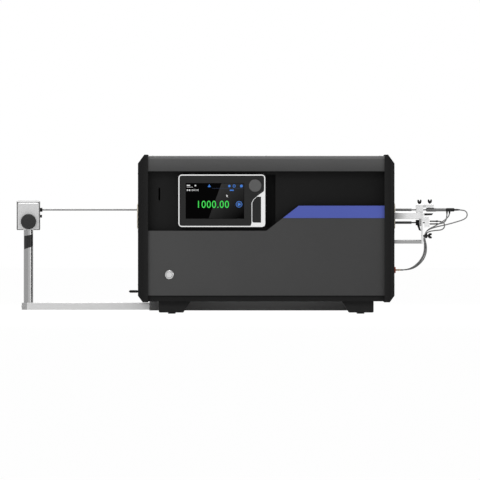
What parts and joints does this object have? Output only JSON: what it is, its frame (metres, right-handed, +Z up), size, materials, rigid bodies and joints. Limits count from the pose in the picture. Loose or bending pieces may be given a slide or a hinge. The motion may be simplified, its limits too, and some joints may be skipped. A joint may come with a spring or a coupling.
{
  "type": "thermocouple calibration furnace",
  "caption": "Bench tube furnace for calibrating thermocouples, with a sliding probe stand on the left and clamped probes with loose leads on the right.",
  "frame": {"origin": "on the bench, under the middle of the furnace housing", "axes": "+X along the furnace axis towards the probe holder, -Y is the front, +Z up"},
  "size_m": [1.1248, 0.29, 0.397],
  "materials": {
    "cap_black": "fine textured black",
    "cover_grey": "satin charcoal paint",
    "panel_grey": "satin charcoal paint",
    "strip_blue": "satin blue",
    "recess_black": "satin black paint",
    "tray_black": "satin black paint",
    "foot_black": "moulded black",
    "rubber": "matt",
    "display_black": "semi-gloss black",
    "bright": "bright satin",
    "glass": "dark touch glass",
    "button_grey": "satin grey",
    "aluminium": "satin anodised",
    "steel": "polished",
    "black_knob": "matt black",
    "ceramic": "matt",
    "wool": "fibre board",
    "heat_wire": "oxidised",
    "nickel": "oxidised nickel alloy",
    "board_green": "solder mask",
    "plug_tan": "satin",
    "socket_red": "satin",
    "lead_grey": "satin sleeve"
  },
  "bodies": {
    "furnace": {"left_end_cap": "cap_black", "right_end_cap": "cap_black", "top_cover": "cover_grey", "front_panel": "panel_grey", "colour_strip": "strip_blue", "recess_panel": "recess_black", "grip_pocket": "recess_black", "bottom_tray": "tray_black", "rear_panel": "panel_grey", "feet": "foot_black", "foot_pads": "rubber", "slide_channel": "tray_black", "furnace_tube": "ceramic", "insulation": "wool", "heater": "heat_wire", "equalizing_block": "nickel", "left_port_ring": "ceramic", "right_port_ring": "ceramic", "control_board": "board_green", "mains_inlet": "cap_black", "fan_frame": "cap_black", "power_button_bezel": "bright", "display_housing": "display_black", "bright_rim": "bright", "display_glass": "glass", "port_sockets": "steel", "holder_bar": "aluminium", "holder_rod": "steel", "holder_plate": "aluminium", "near_clamp": "aluminium", "far_clamp": "aluminium", "upper_probe": "steel", "upper_handle": "black_knob", "lower_probe": "steel", "probe_collar": "black_knob", "lower_terminal": "steel", "lead_1": "lead_grey", "lead_2": "lead_grey", "lead_3": "lead_grey", "lead_4": "lead_grey", "lead_plug": "plug_tan", "lead_socket": "socket_red"},
    "stand": {"base_rail": "aluminium", "rail_end": "aluminium", "post": "steel", "post_grip": "black_knob"},
    "head": {"head_block": "aluminium", "probe_glands": "black_knob", "reference_probe": "steel"},
    "clamp_knob": {"clamp_knob": "black_knob"},
    "rail_catch": {"rail_catch": "black_knob"},
    "power_button": {"power_button": "bright"},
    "home_button": {"home_button": "button_grey"},
    "port_cover": {"port_cover": "display_black"},
    "near_wing_screw": {"near_wing_screw": "black_knob"},
    "far_wing_screw": {"far_wing_screw": "black_knob"},
    "side_wing_screw": {"side_wing_screw": "black_knob"},
    "upper_lever": {"upper_lever": "black_knob"},
    "lower_lever": {"lower_lever": "black_knob"},
    "fan_rotor": {"fan_rotor": "cap_black"}
  },
  "joints": [
    {"name": "stand_slide", "type": "slide", "parent": "furnace", "child": "stand", "axis": [1, 0, 0], "range_m": [-0.2, 0.06]},
    {"name": "head_lift", "type": "slide", "parent": "stand", "child": "head", "axis": [0, 0, 1], "range_m": [-0.01, 0.004]},
    {"name": "knob_turn", "type": "hinge", "parent": "head", "child": "clamp_knob", "pos_m": [-0.5944, -0.03, 0.23], "axis": [0, 1, 0], "range_deg": [-180, 180]},
    {"name": "catch_turn", "type": "hinge", "parent": "furnace", "child": "rail_catch", "pos_m": [-0.32, -0.014, 0.0553], "axis": [1, 0, 0], "range_deg": [0, 90]},
    {"name": "power_press", "type": "slide", "parent": "furnace", "child": "power_button", "axis": [0, 1, 0], "range_m": [0, 0.0025], "stiffness_N_per_m": 600},
    {"name": "home_press", "type": "slide", "parent": "furnace", "child": "home_button", "axis": [0, 1, 0], "range_m": [0, 0.001], "stiffness_N_per_m": 900},
    {"name": "cover_swing", "type": "hinge", "parent": "furnace", "child": "port_cover", "pos_m": [-0.0143, -0.141, 0.26], "axis": [0, 0, 1], "range_deg": [0, 100]},
    {"name": "near_screw_turn", "type": "hinge", "parent": "furnace", "child": "near_wing_screw", "pos_m": [0.3838, 0, 0.28], "axis": [0, 0, 1], "range_deg": [-180, 180]},
    {"name": "far_screw_turn", "type": "hinge", "parent": "furnace", "child": "far_wing_screw", "pos_m": [0.4098, 0, 0.28], "axis": [0, 0, 1], "range_deg": [-180, 180]},
    {"name": "side_screw_turn", "type": "hinge", "parent": "furnace", "child": "side_wing_screw", "pos_m": [0.395, -0.0405, 0.1945], "axis": [1, 0, 0], "range_deg": [-180, 180]},
    {"name": "upper_lever_turn", "type": "hinge", "parent": "furnace", "child": "upper_lever", "pos_m": [0.3994, -0.0405, 0.248], "axis": [0, 1, 0], "range_deg": [0, 75]},
    {"name": "lower_lever_turn", "type": "hinge", "parent": "furnace", "child": "lower_lever", "pos_m": [0.3796, -0.0138, 0.2234], "axis": [0, 1, 0], "range_deg": [0, 60]},
    {"name": "fan_spin", "type": "hinge", "parent": "furnace", "child": "fan_rotor", "pos_m": [0.19, 0.12, 0.15], "axis": [0, 1, 0], "continuous": true}
  ]
}
